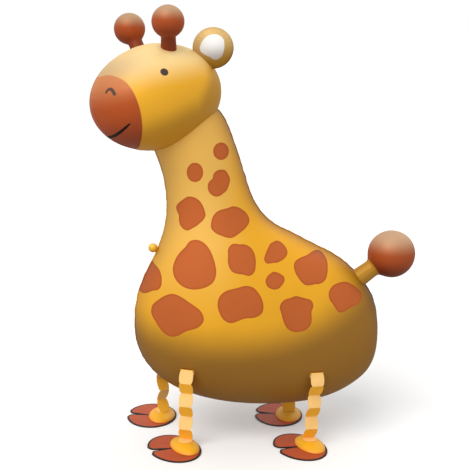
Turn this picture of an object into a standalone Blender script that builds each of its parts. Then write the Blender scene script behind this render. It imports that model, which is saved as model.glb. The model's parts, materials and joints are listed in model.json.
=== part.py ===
"""A giraffe foil balloon that stands on folded paper legs with card feet.

The giraffe faces -X, its left side is -Y and the floor is z = 0. Every size is in metres.
Body, head, horns, ears, tail and filling valve are inflated foil. The legs are pleated strips of
paper, and each foot is a cloven card sole with a domed heel pad that the leg is glued to.
"""

import math

import bmesh
import bpy
from mathutils import Matrix, Vector
from mathutils.bvhtree import BVHTree

# Body and neck, one inflated form
BELLY_HEIGHT = 0.049
BODY_HEIGHT = 0.400
BODY_WIDTH = 0.176

# Head and its turn towards the giraffe's left
HEAD_LENGTH = 0.199
HEAD_WIDTH = 0.148
HEAD_AHEAD_OF_NECK = 0.060
HEAD_ABOVE_NECK = 0.071
HEAD_TO_LEFT = 0.012
HEAD_TURN = math.radians(27.0)
HEAD_NOD = math.radians(11.6)
HEAD_TILT = math.radians(8.5)

# Horns: name, then in degrees how far the foot stands sideways and back from the crown, and how far
# the stem leans sideways and forward
HORN_BALL_DIAMETER = 0.046
HORN_STEM_DIAMETER = 0.0215
HORN_LENGTH = 0.0385
HORNS = (
    ("horn_left", 30.0, 12.0, 28.0, 4.0),
    ("horn_right", -28.0, 6.0, -21.0, 0.0),
)

# Ears, flat round pillows: name, centre and facing direction in the head's frame
EAR_DIAMETER = 0.056
EAR_THICKNESS = 0.018
EARS = (
    ("ear_left", (-0.081, 0.045, 0.050), (0.55, 0.80, 0.10)),
    ("ear_right", (-0.081, -0.047, 0.032), (0.55, -0.80, 0.10)),
)

# Tail, with its foot at a point given as shares of the body height
TAIL_BALL_DIAMETER = 0.073
TAIL_STEM_DIAMETER = 0.028
TAIL_LENGTH = 0.060
TAIL_RISE = math.radians(38.0)
TAIL_PLACE = (0.425, 0.492)

# Filling valve on the chest, placed in the same way
VALVE_BULB_DIAMETER = 0.014
VALVE_STEM_DIAMETER = 0.006
VALVE_LENGTH = 0.011
VALVE_RISE = math.radians(38.0)
VALVE_PLACE = (-0.337, 0.578)

# Turned outline of horns, tail and valve
KNOB_CROWN_ANGLE = math.radians(12.0)
KNOB_FILLET_ANGLE = math.radians(7.0)
KNOB_STEM_FLARE = 0.04

# Paper legs
LEG_WIDTH = 0.0206
LEG_NECK_SHARE = 0.78
LEG_PAPER = 0.0008
LEG_PANELS = 6
LEG_FOLD_DEPTH = 0.0085
LEG_GLUE_TAB = 0.009
LEG_TOP_CREASE = 0.002
LEG_TAB_OFF_BODY = 0.0014
LEG_OFF_BODY = 0.0012
LEG_TAB_END_SHARE = 0.35
LEG_TOP_ABOVE_BELLY = 0.072
FRONT_LEG_BEHIND_CHEST = 0.0625
HIND_LEG_BEFORE_RUMP = 0.1116
LEG_INSET = 0.026
LEG_TRACK = BODY_WIDTH - 2 * LEG_INSET
FRONT_STRIDE = 0.013
HIND_STRIDE = 0.005

# Card feet and heel pads
FOOT_LENGTH = 0.077
FOOT_WIDTH = 0.100
FOOT_CARD = 0.0016
FOOT_SPLAY = math.radians(12.0)
CLEFT_LENGTH = 0.030
CLEFT_WIDTH = 0.006
TOE_ROUNDING = 0.004
TOE_TIP_ANGLE = math.radians(168.0)
HEEL_LENGTH = 0.041
HEEL_WIDTH = 0.066
HEEL_HEIGHT = 0.0085
HEEL_DOME_SHARE = 0.93
HEEL_MARGIN = 0.002

# Clearance between pieces that touch
GAP = 0.0003

# Side outline of body and neck, from neck to rump: the front or belly point, the back point and
# the half width. Points are shares of the body height, half widths shares of half the body width.
BODY_STATIONS = (
    ((-0.400, 1.050), (-0.130, 1.110), 0.54),
    ((-0.361, 0.955), (-0.073, 0.982), 0.59),
    ((-0.325, 0.862), (-0.033, 0.872), 0.60),
    ((-0.311, 0.767), (0.004, 0.778), 0.63),
    ((-0.315, 0.677), (0.066, 0.704), 0.71),
    ((-0.347, 0.572), (0.153, 0.660), 0.82),
    ((-0.400, 0.457), (0.262, 0.608), 0.92),
    ((-0.420, 0.332), (0.341, 0.569), 0.98),
    ((-0.396, 0.192), (0.397, 0.524), 1.00),
    ((-0.284, 0.071), (0.436, 0.482), 0.99),
    ((-0.090, 0.010), (0.468, 0.440), 0.94),
    ((0.125, 0.000), (0.490, 0.392), 0.84),
    ((0.304, 0.026), (0.502, 0.332), 0.68),
    ((0.422, 0.090), (0.504, 0.267), 0.45),
    ((0.463, 0.130), (0.500, 0.224), 0.26),
)
RUMP_TIP = (0.489, 0.175)
NECK_TOP = (-0.213, 0.969)

# How finely the round forms are faceted
RINGS_PER_STATION = 2
RING_SIDES = 28
HEAD_SEGMENTS = (32, 18)
EAR_SEGMENTS = (24, 10)
HEEL_SEGMENTS = (24, 14)
TURN_STEPS = 20
ARC_STEPS = 8
PANEL_STEPS = 4
FOOT_ARC_STEPS = 9
SMOOTH_UNDER = math.radians(35.0)

LEFT, RIGHT = -1, 1


def clear_scene():
    for item in list(bpy.data.objects):
        bpy.data.objects.remove(item)


def new_collection(name):
    collection = bpy.data.collections.new(name)
    bpy.context.scene.collection.children.link(collection)
    return collection


def new_material(name, colour, roughness, metallic=0.0):
    material = bpy.data.materials.new(name)
    material.use_nodes = True
    shader = material.node_tree.nodes["Principled BSDF"]
    shader.inputs["Base Color"].default_value = (*colour, 1.0)
    shader.inputs["Roughness"].default_value = roughness
    shader.inputs["Metallic"].default_value = metallic
    return material


def add_object(name, mesh, collection, parent=None, material=None):
    item = bpy.data.objects.new(name, mesh)
    collection.objects.link(item)
    item.parent = parent
    if material:
        mesh.materials.append(material)
    return item


def mesh_from(bm, name, smooth=True):
    bmesh.ops.recalc_face_normals(bm, faces=bm.faces)
    mesh = bpy.data.meshes.new(name)
    bm.to_mesh(mesh)
    bm.free()
    if smooth:
        mesh.shade_smooth()
        mesh.set_sharp_from_angle(angle=SMOOTH_UNDER)
    return mesh


def between(a, b, share):
    return a + (b - a) * share


def through(values, place):
    """The smooth curve through a row of vectors, read at a place counted in steps of one."""
    last = len(values) - 1
    step = min(int(place), last - 1)
    share = place - step
    p1, p2 = values[step], values[step + 1]
    p0 = values[step - 1] if step > 0 else p1 * 2 - p2
    p3 = values[step + 2] if step + 2 <= last else p2 * 2 - p1
    return 0.5 * (
        p1 * 2
        + (p2 - p0) * share
        + (p0 * 2 - p1 * 5 + p2 * 4 - p3) * share**2
        + (p1 * 3 - p0 - p2 * 3 + p3) * share**3
    )


def body_point(share_x, share_z):
    return Vector((share_x * BODY_HEIGHT, 0.0, BELLY_HEIGHT + share_z * BODY_HEIGHT))


def body_rings(grow=0.0):
    """Elliptical rings from the neck to the rump, each spanning from the belly side to the back."""
    fronts = [body_point(*front) for front, _, _ in BODY_STATIONS]
    backs = [body_point(*back) for _, back, _ in BODY_STATIONS]
    widths = [Vector((half, 0, 0)) * BODY_WIDTH / 2 for _, _, half in BODY_STATIONS]
    steps = (len(BODY_STATIONS) - 1) * RINGS_PER_STATION
    rings = []
    for step in range(steps + 1):
        place = step / RINGS_PER_STATION
        front, back = through(fronts, place), through(backs, place)
        centre = (front + back) / 2
        along = (back - front).normalized()
        reach = (back - front).length / 2 + grow
        width = through(widths, place).x + grow
        ring = []
        for side in range(RING_SIDES):
            angle = math.tau * side / RING_SIDES
            ring.append(centre + along * reach * math.cos(angle) + Vector((0, width * math.sin(angle), 0)))
        rings.append(ring)
    return rings


def body_mesh(name, grow=0.0):
    bm = bmesh.new()
    rings = [[bm.verts.new(point) for point in ring] for ring in body_rings(grow)]
    bm.faces.new(rings[0])
    for ring, following in zip(rings, rings[1:]):
        for side in range(RING_SIDES):
            after = (side + 1) % RING_SIDES
            bm.faces.new((ring[side], ring[after], following[after], following[side]))
    tip = bm.verts.new(body_point(*RUMP_TIP) + Vector((grow, 0, 0)))
    for side in range(RING_SIDES):
        bm.faces.new((rings[-1][side], rings[-1][(side + 1) % RING_SIDES], tip))
    bmesh.ops.triangulate(bm, faces=bm.faces)
    return mesh_from(bm, name)


def ball_mesh(name, radii, segments, grow=0.0):
    """A sphere stretched to three half sizes, with its poles on the first of them."""
    bm = bmesh.new()
    bmesh.ops.create_uvsphere(bm, u_segments=segments[0], v_segments=segments[1], radius=1.0)
    bmesh.ops.rotate(bm, verts=bm.verts, matrix=Matrix.Rotation(math.pi / 2, 3, "Y"))
    bmesh.ops.scale(bm, verts=bm.verts, vec=Vector(radii) + Vector((grow, grow, grow)))
    return mesh_from(bm, name)


def head_radii():
    return (HEAD_LENGTH / 2, HEAD_WIDTH / 2, HEAD_WIDTH / 2)


def head_matrix():
    """Head frame: +X to the nose, +Y to the giraffe's left, +Z to the crown."""
    face = Matrix.Rotation(math.pi + HEAD_TURN, 4, "Z")
    pose = face @ Matrix.Rotation(HEAD_NOD, 4, "Y") @ Matrix.Rotation(HEAD_TILT, 4, "X")
    ahead = Vector((-HEAD_AHEAD_OF_NECK, -HEAD_TO_LEFT, HEAD_ABOVE_NECK))
    return Matrix.Translation(body_point(*NECK_TOP) + ahead) @ pose


def on_head(direction):
    """The point of the head's surface in a direction from its centre, in the head's frame."""
    radii = head_radii()
    size = math.sqrt(sum((direction[i] / radii[i]) ** 2 for i in range(3)))
    return Vector(direction) / size


def arc(centre_height, radius, start, end, steps):
    """Points on the outer side of a ball, by angle from straight up."""
    points = []
    for step in range(steps + 1):
        angle = between(start, end, step / steps)
        points.append((radius * math.sin(angle), centre_height + radius * math.cos(angle)))
    return points


def knob_profile(length, ball, stem, root):
    """A ball on a stem, from the top of the ball down to the foot of the stem on the axis."""
    join = math.pi - math.asin(stem / ball) - KNOB_FILLET_ANGLE
    flare = stem * KNOB_STEM_FLARE
    points = [(0.0, length + ball / 2)]
    points += arc(length, ball / 2, KNOB_CROWN_ANGLE, join, ARC_STEPS)
    points += [(stem / 2, length - ball / 2 - flare), (stem / 2 + flare / 2, 0.0)]
    points += [(stem / 2 + flare, -root), (0.0, -root)]
    return points


def knob(name, sizes, root, collection, parent, material):
    """A turned ball and stem that stands along its own +Z."""
    points = knob_profile(*sizes, root)
    mesh = bpy.data.meshes.new(name)
    edges = [(i, i + 1) for i in range(len(points) - 1)]
    mesh.from_pydata([(x, 0.0, z) for x, z in points], edges, [])
    item = add_object(name, mesh, collection, parent, material)
    turn = item.modifiers.new("turn", "SCREW")
    turn.steps = turn.render_steps = TURN_STEPS
    turn.use_merge_vertices = True
    turn.merge_threshold = 0.0001
    turn.use_smooth_shade = True
    return item


def cut(item, cutter):
    trim = item.modifiers.new("seat on " + cutter.name, "BOOLEAN")
    trim.operation = "DIFFERENCE"
    trim.solver = "EXACT"
    trim.object = cutter


def make_cutter(name, mesh, collection, matrix=None):
    cutter = add_object(name, mesh, collection)
    cutter.hide_render = True
    cutter.display_type = "WIRE"
    if matrix:
        cutter.matrix_world = matrix
    return cutter


def stand_along(item, foot, direction):
    """Put the foot of a turned knob at a point, with its axis along a direction."""
    item.location = foot
    item.rotation_euler = direction.to_track_quat("Z", "Y").to_euler()


def make_horns(parts, head, cutter, material):
    sizes = (HORN_LENGTH, HORN_BALL_DIAMETER, HORN_STEM_DIAMETER)
    for name, *degrees in HORNS:
        out, back, spread, forward = (math.radians(angle) for angle in degrees)
        horn = knob(name, sizes, HORN_STEM_DIAMETER / 2, parts, head, material)
        foot = on_head((-math.sin(back), math.sin(out) * math.cos(back), math.cos(out) * math.cos(back)))
        stand_along(horn, foot, Vector((math.sin(forward), math.sin(spread), math.cos(spread))))
        cut(horn, cutter)


def make_ears(parts, head, cutter, material):
    radii = (EAR_THICKNESS / 2, EAR_DIAMETER / 2, EAR_DIAMETER / 2)
    for name, centre, facing in EARS:
        ear = add_object(name, ball_mesh(name, radii, EAR_SEGMENTS), parts, head, material)
        ear.location = centre
        ear.rotation_euler = Vector(facing).to_track_quat("X", "Z").to_euler()
        cut(ear, cutter)


def make_tail(parts, frame, cutter, material):
    sizes = (TAIL_LENGTH, TAIL_BALL_DIAMETER, TAIL_STEM_DIAMETER)
    tail = knob("tail", sizes, TAIL_STEM_DIAMETER / 2, parts, frame, material)
    lean = Vector((math.cos(TAIL_RISE), 0.0, math.sin(TAIL_RISE)))
    stand_along(tail, body_point(*TAIL_PLACE), lean)
    cut(tail, cutter)


def make_valve(parts, frame, cutter, material):
    sizes = (VALVE_LENGTH, VALVE_BULB_DIAMETER, VALVE_STEM_DIAMETER)
    valve = knob("filling_valve", sizes, VALVE_STEM_DIAMETER, parts, frame, material)
    lean = Vector((-math.cos(VALVE_RISE), 0.0, math.sin(VALVE_RISE)))
    stand_along(valve, body_point(*VALVE_PLACE), lean)
    cut(valve, cutter)


def foot_half_outline():
    """Outer edge of one toe, from the cleft's root round to the back of the foot, in the foot's frame."""
    length, width = FOOT_LENGTH / 2, FOOT_WIDTH / 2
    cleft_root = -length + CLEFT_LENGTH
    points = [(cleft_root, 0.0)]
    for step in range(FOOT_ARC_STEPS + 1):
        angle = between(TOE_TIP_ANGLE, 0.0, step / FOOT_ARC_STEPS)
        points.append((length * math.cos(angle), width * math.sin(angle)))
    inner_corner = (points[1][0] + TOE_ROUNDING, CLEFT_WIDTH / 2)
    points.insert(1, inner_corner)
    return points


def foot_mesh(name):
    half = foot_half_outline()
    outline = half + [(x, -y) for x, y in reversed(half[1:-1])]
    curve = bpy.data.curves.new(name, "CURVE")
    curve.dimensions = "2D"
    curve.fill_mode = "BOTH"
    curve.extrude = FOOT_CARD / 2
    spline = curve.splines.new("POLY")
    spline.points.add(len(outline) - 1)
    for point, (x, y) in zip(spline.points, outline):
        point.co = (x, y, 0.0, 1.0)
    spline.use_cyclic_u = True
    holder = bpy.data.objects.new(name + "_outline", curve)
    bpy.context.scene.collection.objects.link(holder)
    bpy.context.view_layer.update()
    solid = bpy.data.meshes.new_from_object(holder.evaluated_get(bpy.context.evaluated_depsgraph_get()))
    bpy.data.objects.remove(holder)
    bm = bmesh.new()
    bm.from_mesh(solid)
    bpy.data.meshes.remove(solid)
    bmesh.ops.remove_doubles(bm, verts=bm.verts, dist=0.00001)
    bmesh.ops.translate(bm, verts=bm.verts, vec=(0.0, 0.0, FOOT_CARD / 2))
    return mesh_from(bm, name, smooth=False)


def heel_mesh(name):
    """A low dome, flat below and with a small flat on top for the leg's tab."""
    bm = bmesh.new()
    bmesh.ops.create_uvsphere(bm, u_segments=HEEL_SEGMENTS[0], v_segments=HEEL_SEGMENTS[1], radius=1.0)
    height = HEEL_HEIGHT / HEEL_DOME_SHARE
    bmesh.ops.scale(bm, verts=bm.verts, vec=(HEEL_LENGTH / 2, HEEL_WIDTH / 2, height))
    for level, keep in ((0.0, 1), (HEEL_HEIGHT, -1)):
        everything = bm.verts[:] + bm.edges[:] + bm.faces[:]
        found = bmesh.ops.bisect_plane(
            bm, geom=everything, plane_co=(0, 0, level), plane_no=(0, 0, -keep), clear_outer=True
        )
        rim = [edge for edge in found["geom_cut"] if isinstance(edge, bmesh.types.BMEdge)]
        bmesh.ops.edgeloop_fill(bm, edges=rim)
    return mesh_from(bm, name)


def heel_top():
    return FOOT_CARD + GAP + HEEL_HEIGHT


def clear_of_body(surface, node, outward):
    """Move a fold outwards until the strip's middle and both its edges stand clear of the flank."""
    across = Vector((0, 0, 1)).cross(outward) * LEG_WIDTH / 2
    step_out = 0.0
    for edge in (-across, Vector((0, 0, 0)), across):
        found = surface.ray_cast(node + edge + outward * BODY_WIDTH, -outward)[0]
        if found is not None:
            step_out = max(step_out, (found - node - edge).dot(outward) + LEG_OFF_BODY)
    return node + outward * step_out


def leg_nodes(surface, x, side):
    """The folds of one leg, from the tab on the flank down to the tab on the heel pad."""
    standing = GAP + LEG_PAPER / 2
    beside = Vector((x, side * BODY_WIDTH, BELLY_HEIGHT + LEG_TOP_ABOVE_BELLY))
    place, normal, _, _ = surface.ray_cast(beside, Vector((0, -side, 0)))
    outward = Vector((normal.x, normal.y, 0.0)).normalized()
    down = (outward * normal.z - Vector((0, 0, 1)) * normal.dot(outward)).normalized()
    top = place + normal * LEG_TAB_OFF_BODY
    tab = LEG_WIDTH * LEG_NECK_SHARE
    landing = Vector((x, side * LEG_TRACK / 2, heel_top() + standing))
    foot = landing - outward * tab / 2
    crease = top + outward * LEG_TOP_CREASE
    nodes = [top + down * LEG_GLUE_TAB, top, crease]
    for fold in range(1, LEG_PANELS + 1):
        node = clear_of_body(surface, between(crease, foot, fold / LEG_PANELS), outward)
        if fold % 2:
            node = node + outward * LEG_FOLD_DEPTH
        nodes.append(node)
    nodes.append(foot + outward * tab)
    return nodes, outward


def leg_half_width(share, last):
    """Half the strip's width along one panel: narrow at the folds, round between them."""
    bulge = math.sin(math.pi * share) ** 0.5
    if last and share > 0.5:
        return LEG_WIDTH / 2 * max(bulge, LEG_TAB_END_SHARE)
    return LEG_WIDTH / 2 * between(LEG_NECK_SHARE, 1.0, bulge)


def leg_mesh(name, nodes, outward):
    across = Vector((0, 0, 1)).cross(outward)
    bm = bmesh.new()
    rows = []
    panels = len(nodes) - 1
    for panel in range(panels):
        for step in range(PANEL_STEPS):
            share = step / PANEL_STEPS
            rows.append((between(nodes[panel], nodes[panel + 1], share), leg_half_width(share, panel == panels - 1)))
    rows.append((nodes[-1], leg_half_width(1.0, True)))
    pairs = [(bm.verts.new(at - across * half), bm.verts.new(at + across * half)) for at, half in rows]
    for (a, b), (c, d) in zip(pairs, pairs[1:]):
        bm.faces.new((a, b, d, c))
    mesh = bpy.data.meshes.new(name)
    bm.to_mesh(mesh)
    bm.free()
    return mesh


def make_leg(name, surface, x, side, parts, frame, material):
    nodes, outward = leg_nodes(surface, x, side)
    leg = add_object(name, leg_mesh(name, nodes, outward), parts, frame, material)
    paper = leg.modifiers.new("paper", "SOLIDIFY")
    paper.thickness = LEG_PAPER
    paper.offset = 0.0
    paper.use_even_offset = True
    return leg


def make_foot_and_heel(place, x, side, parts, frame, card, pad):
    heel_reach = FOOT_LENGTH / 2 - HEEL_MARGIN - HEEL_LENGTH / 2
    turn = Matrix.Rotation(-side * FOOT_SPLAY, 4, "Z")
    landing = Vector((x, side * LEG_TRACK / 2, 0.0))
    centre = landing - turn @ Vector((heel_reach, 0.0, 0.0))
    foot = add_object("foot_" + place, foot_mesh("foot_" + place), parts, frame, card)
    foot.matrix_world = Matrix.Translation(centre) @ turn
    heel = add_object("heel_" + place, heel_mesh("heel_" + place), parts, frame, pad)
    heel.matrix_world = Matrix.Translation(landing + Vector((0, 0, FOOT_CARD + GAP))) @ turn


def centre_on_floor(frame, parts):
    """Move the whole giraffe so that the middle of its plan is at the origin."""
    bpy.context.view_layer.update()
    graph = bpy.context.evaluated_depsgraph_get()
    corners = []
    for item in parts.objects:
        shape = item.evaluated_get(graph)
        corners += [shape.matrix_world @ vertex.co for vertex in shape.data.vertices]
    low = [min(corner[axis] for corner in corners) for axis in range(2)]
    high = [max(corner[axis] for corner in corners) for axis in range(2)]
    frame.location = (-(low[0] + high[0]) / 2, -(low[1] + high[1]) / 2, 0.0)


def build():
    clear_scene()
    parts = new_collection("giraffe_foil_balloon")
    cutters = new_collection("cutters")
    gold_foil = new_material("gold_foil", (0.80, 0.45, 0.07), 0.35, 0.3)
    head_foil = new_material("head_foil", (0.82, 0.48, 0.09), 0.35, 0.3)
    brown_foil = new_material("brown_foil", (0.40, 0.09, 0.03), 0.35, 0.3)
    ear_foil = new_material("ear_foil", (0.76, 0.45, 0.08), 0.35, 0.3)
    tail_foil = new_material("tail_foil", (0.46, 0.12, 0.04), 0.35, 0.3)
    valve_film = new_material("valve_film", (0.85, 0.58, 0.12), 0.45)
    leg_paper = new_material("leg_paper", (0.93, 0.58, 0.16), 0.8)
    foot_card = new_material("foot_card", (0.56, 0.09, 0.02), 0.7)
    heel_card = new_material("heel_card", (0.94, 0.50, 0.02), 0.6)

    frame = bpy.data.objects.new("giraffe_frame", None)
    parts.objects.link(frame)

    body_cutter = make_cutter("body_cutter", body_mesh("body_cutter", GAP), cutters)
    head_cutter_mesh = ball_mesh("head_cutter", head_radii(), HEAD_SEGMENTS, GAP)
    head_cutter = make_cutter("head_cutter", head_cutter_mesh, cutters, head_matrix())
    body_cutter.parent = frame
    head_cutter.parent = frame

    body = add_object("body", body_mesh("body"), parts, frame, gold_foil)
    cut(body, head_cutter)
    head = add_object("head", ball_mesh("head", head_radii(), HEAD_SEGMENTS), parts, frame, head_foil)
    head.matrix_world = head_matrix()
    make_horns(parts, head, head_cutter, brown_foil)
    make_ears(parts, head, head_cutter, ear_foil)
    make_tail(parts, frame, body_cutter, tail_foil)
    make_valve(parts, frame, body_cutter, valve_film)

    surface = BVHTree.FromPolygons(
        [vertex.co for vertex in body.data.vertices],
        [tuple(face.vertices) for face in body.data.polygons],
    )
    chest = min(front[0] for front, _, _ in BODY_STATIONS) * BODY_HEIGHT
    rump = max(back[0] for _, back, _ in BODY_STATIONS) * BODY_HEIGHT
    pairs = (
        ("front", chest + FRONT_LEG_BEHIND_CHEST, FRONT_STRIDE),
        ("hind", rump - HIND_LEG_BEFORE_RUMP, HIND_STRIDE),
    )
    for end, x, stride in pairs:
        for side_name, side in (("left", LEFT), ("right", RIGHT)):
            place = end + "_" + side_name
            leg_x = x - side * stride
            make_leg("leg_" + place, surface, leg_x, side, parts, frame, leg_paper)
            make_foot_and_heel(place, leg_x, side, parts, frame, foot_card, heel_card)
    parts.objects.unlink(frame)
    bpy.context.scene.collection.objects.link(frame)
    centre_on_floor(frame, parts)


build()
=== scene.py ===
# %% [markdown]
# This lesson dresses a giraffe foil balloon. The real one is welded from thin printed foil and filled
# with gas. It stands on folded paper legs, and each leg ends in a weighted hoof of card. The solids that
# a physics model uses are loaded first, and each visible piece is then modelled in the same place, so
# that it rides on its solid and never changes the balloon's size.

# %% Load the frame
import json
from math import asin, atan2, copysign, cos, hypot, pi, radians, sin, sqrt, tau

import bmesh
import bpy
import numpy as np
from mathutils import Matrix, Vector
from mathutils.bvhtree import BVHTree

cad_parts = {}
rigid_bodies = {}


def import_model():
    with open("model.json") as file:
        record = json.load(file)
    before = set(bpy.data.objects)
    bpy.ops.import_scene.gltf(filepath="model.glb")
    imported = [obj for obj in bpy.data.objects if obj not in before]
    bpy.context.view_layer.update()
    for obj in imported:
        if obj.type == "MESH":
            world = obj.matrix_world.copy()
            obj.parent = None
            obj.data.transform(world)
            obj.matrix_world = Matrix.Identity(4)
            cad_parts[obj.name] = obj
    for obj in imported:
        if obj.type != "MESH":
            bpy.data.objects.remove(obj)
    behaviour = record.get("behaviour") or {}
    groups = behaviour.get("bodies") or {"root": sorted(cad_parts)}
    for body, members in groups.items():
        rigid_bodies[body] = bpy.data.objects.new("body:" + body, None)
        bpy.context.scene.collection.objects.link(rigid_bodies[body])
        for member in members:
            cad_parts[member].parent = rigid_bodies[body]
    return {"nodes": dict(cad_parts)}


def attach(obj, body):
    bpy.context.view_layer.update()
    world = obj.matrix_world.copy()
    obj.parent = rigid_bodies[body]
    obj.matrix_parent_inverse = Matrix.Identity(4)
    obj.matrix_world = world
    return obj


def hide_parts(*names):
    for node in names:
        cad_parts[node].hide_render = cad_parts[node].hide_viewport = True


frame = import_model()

scene = bpy.context.scene
nodes = frame["nodes"]
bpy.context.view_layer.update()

# %% [markdown]
# The camera comes first, because it looks at the giraffe as the photograph does. The giraffe
# faces -X and the photograph shows its left side, from a little ahead of the side and a little above.
# The picture is tipped by a few degrees, so the camera rolls as well.

# %% Camera
LOOK_AT = Vector((-0.0301, 0.0, 0.308))
DISTANCE = 1.50
AZIMUTH = radians(-8.0)
ELEVATION = radians(11.3)
ROLL = radians(2.5)
LENS = 77.67


def place_camera():
    """Make the camera and aim it as the photograph was taken."""
    back = Vector((sin(AZIMUTH) * cos(ELEVATION), -cos(AZIMUTH) * cos(ELEVATION), sin(ELEVATION)))
    level = Vector((cos(AZIMUTH), sin(AZIMUTH), 0.0))
    upright = back.cross(level)
    right = level * cos(ROLL) + upright * sin(ROLL)
    up = upright * cos(ROLL) - level * sin(ROLL)
    camera = bpy.data.objects.new("camera", bpy.data.cameras.new("camera"))
    scene.collection.objects.link(camera)
    camera.location = LOOK_AT + back * DISTANCE
    camera.rotation_euler = Matrix((right, up, back)).transposed().to_euler()
    camera.data.lens = LENS
    scene.camera = camera
    return camera


camera = place_camera()
print("camera at", tuple(round(value, 3) for value in camera.location))

# %% [markdown]
# Operators act on what is selected, so each step first selects one object alone. In edit mode, points
# and edges are then picked by their place, as one would click them.

# %% Selecting
def only(piece):
    """Select one object and nothing else."""
    for other in bpy.context.view_layer.objects:
        other.select_set(False)
    piece.select_set(True)
    bpy.context.view_layer.objects.active = piece


def pick_all():
    """Pick the whole mesh in edit mode."""
    bpy.ops.mesh.select_all(action="SELECT")


def start_edit(piece):
    """Go into edit mode with nothing picked."""
    only(piece)
    bpy.ops.object.mode_set(mode="EDIT")
    bpy.ops.mesh.select_all(action="DESELECT")


def start_piece(name):
    """Name the new primitive and pick all of it in edit mode."""
    piece = bpy.context.object
    piece.name = name
    start_edit(piece)
    pick_all()
    return piece


def end_edit():
    """Go back to object mode."""
    bpy.ops.object.mode_set(mode="OBJECT")


def pick(piece, wanted, kind="VERT"):
    """Pick the points or edges whose points all pass a test."""
    bpy.ops.mesh.select_mode(type=kind)
    bpy.ops.mesh.select_all(action="DESELECT")
    mesh = bmesh.from_edit_mesh(piece.data)
    picked = 0
    for item in mesh.verts if kind == "VERT" else mesh.edges:
        points = [item] if kind == "VERT" else item.verts
        if all(wanted(point.co) for point in points):
            item.select_set(True)
            picked += 1
    mesh.select_flush_mode()
    bmesh.update_edit_mesh(piece.data)
    return picked


def pick_opening():
    """Pick the points round an open end."""
    bpy.ops.mesh.select_mode(type="VERT")
    bpy.ops.mesh.select_all(action="DESELECT")
    bpy.ops.mesh.select_non_manifold()


# %% Shaping what is picked
def extrude(move):
    """Extrude what is picked and move the copy."""
    bpy.ops.mesh.extrude_region_move(TRANSFORM_OT_translate={"value": move})


def stretch(factors, centre=(0, 0, 0)):
    """Stretch what is picked about a centre."""
    bpy.ops.transform.resize(value=factors, center_override=centre)


def face_outwards():
    """Turn every face outwards."""
    pick_all()
    bpy.ops.mesh.normals_make_consistent(inside=False)


# %% Applying, copying and placing
def apply(piece, modifier):
    """Apply a modifier to its piece."""
    only(piece)
    bpy.ops.object.modifier_apply(modifier=modifier.name)


def subdivide_smoothly(piece, levels):
    """Round a piece with a Subdivision Surface."""
    smooth = piece.modifiers.new("smooth", "SUBSURF")
    smooth.levels = smooth.render_levels = levels
    apply(piece, smooth)


def copy_of(piece, name):
    """A copy of a finished shape, with a mesh of its own."""
    copy = piece.copy()
    copy.data = piece.data.copy()
    copy.name = name
    scene.collection.objects.link(copy)
    return copy


def settle(piece, matrix):
    """Put a piece in its place, with the place in its mesh."""
    only(piece)
    piece.matrix_world = matrix
    bpy.ops.object.transform_apply(location=True, rotation=True, scale=True)


# %% Values on points
def points_of(piece):
    """All points of a piece as rows of x, y and z."""
    places = np.empty(len(piece.data.vertices) * 3)
    piece.data.vertices.foreach_get("co", places)
    return places.reshape(-1, 3)


def store(piece, domain="POINT", **kept):
    """Keep numbers or vectors for each point or face, which materials read by name."""
    for name, values in kept.items():
        kind, field = ("FLOAT", "value") if values.ndim == 1 else ("FLOAT_VECTOR", "vector")
        attribute = piece.data.attributes.new(name, kind, domain)
        attribute.data.foreach_set(field, values.astype(np.float32).ravel())


# %% Handing a piece over
def hand_over(piece, node, material):
    """Give a finished piece its material and let it stand for its solid."""
    piece.data.materials.clear()
    piece.data.materials.append(material)
    only(piece)
    bpy.ops.object.shade_smooth()
    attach(piece, "root")
    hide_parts(node)
    print(piece.name, "for", node, "with", len(piece.data.polygons), "faces")


# %% [markdown]
# Materials are built from nodes. These helpers add a node, set its sockets and join it up, so that a
# material reads from top to bottom. Colours are written the way a paint program shows them.

# %% Nodes and colours
def paint(code):
    """A colour from its six-digit code, as the shader needs it."""
    parts = [int(code[place:place + 2], 16) / 255 for place in (0, 2, 4)]
    linear = [part / 12.92 if part <= 0.04045 else ((part + 0.055) / 1.055) ** 2.4 for part in parts]
    return (*linear, 1.0)


def fill(tree, node, sockets):
    """Set a node's inputs to values or colour codes, or join them to other nodes' outputs."""
    for name, value in sockets.items():
        if isinstance(value, bpy.types.NodeSocket):
            tree.links.new(value, node.inputs[name])
        else:
            node.inputs[name].default_value = paint(value) if isinstance(value, str) else value


def add_node(tree, kind, sockets=None, **settings):
    """Add a node, set it up and fill its inputs."""
    made = tree.nodes.new("ShaderNode" + kind)
    for name, value in settings.items():
        setattr(made, name, value)
    fill(tree, made, sockets or {})
    return made


# %% Steps that materials share
def calculate(tree, operation, *values):
    """The result of a calculation with numbers or outputs."""
    return add_node(tree, "Math", dict(enumerate(values)), operation=operation).outputs[0]


def own_place(tree):
    """Where on the piece the shader is, in metres."""
    return add_node(tree, "TexCoord").outputs["Object"]


def mix(tree, share, first, second, blend="MIX"):
    """From the first colour to the second, or to their product, by a share."""
    sockets = {0: share, 6: first, 7: second}
    return add_node(tree, "Mix", sockets, data_type="RGBA", blend_type=blend).outputs[2]


def ramp(tree, value, low, high, start=0.0, end=1.0):
    """A soft step from one value to another."""
    sockets = {"Value": value, "From Min": low, "From Max": high, "To Min": start, "To Max": end}
    return add_node(tree, "MapRange", sockets, interpolation_type="SMOOTHSTEP").outputs[0]


def read(tree, name):
    """The number that a piece keeps for each point."""
    return add_node(tree, "Attribute", attribute_name=name).outputs["Fac"]


def ink(tree, name, ground, colour, soft=0.4):
    """Print a colour inside an outline, where the kept distance is below zero."""
    share = ramp(tree, read(tree, name), -soft, soft, 1.0, 0.0)
    return mix(tree, share, ground, colour)


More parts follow.
